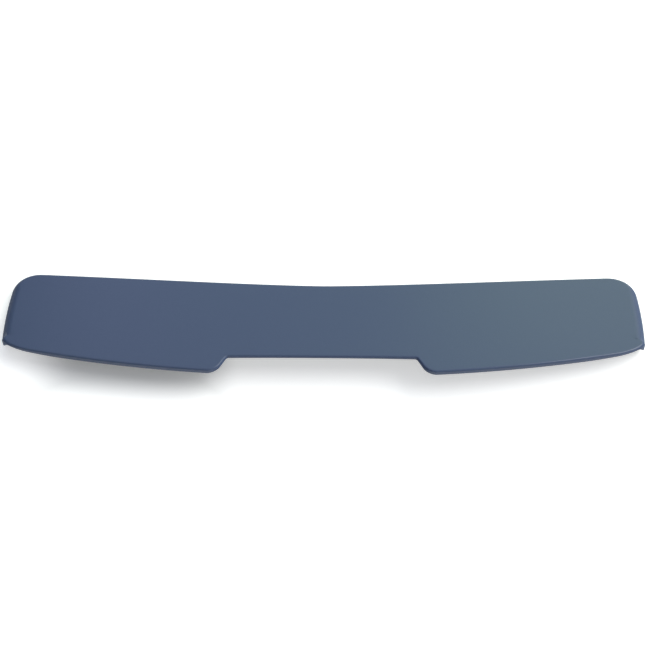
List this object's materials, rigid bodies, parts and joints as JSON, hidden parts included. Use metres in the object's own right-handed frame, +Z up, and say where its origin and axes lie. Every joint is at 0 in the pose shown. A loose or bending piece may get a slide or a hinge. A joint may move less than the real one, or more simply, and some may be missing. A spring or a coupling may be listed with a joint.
{
  "type": "rear roof spoiler",
  "caption": "Hollow moulded rear roof spoiler for an estate car, crowned across its width, with a centre notch in the trailing edge.",
  "frame": {"origin": "middle of the box's base, on the surface that the spoiler lies on by its four outer foam rings", "axes": "+X across the car to the right as seen from behind, +Y towards the front of the car (the leading edge), +Z up"},
  "size_m": [1.12, 0.2298, 0.0637],
  "materials": {
    "painted_moulding": "slate blue metallic paint under clear coat on moulded ABS, thin overspray on the underside",
    "brass": "turned",
    "sealing_foam": "closed-cell foam",
    "seal_rubber": "matte rubber",
    "foam_tape": "acrylic foam",
    "black_plastic": "moulded"
  },
  "bodies": {
    "root": {"spoiler_body": "painted_moulding", "insert_outer_front_left": "brass", "insert_outer_front_right": "brass", "insert_outer_rear_left": "brass", "insert_outer_rear_right": "brass", "insert_inner_left": "brass", "insert_inner_right": "brass", "ring_outer_front_left": "sealing_foam", "ring_outer_front_right": "sealing_foam", "ring_outer_rear_left": "sealing_foam", "ring_outer_rear_right": "sealing_foam", "ring_inner_left": "sealing_foam", "ring_inner_right": "sealing_foam", "front_seal": "seal_rubber", "tip_tape_left": "foam_tape", "tip_tape_right": "foam_tape", "blow_plug_left": "black_plastic", "blow_plug_right": "black_plastic"}
  },
  "joints": []
}
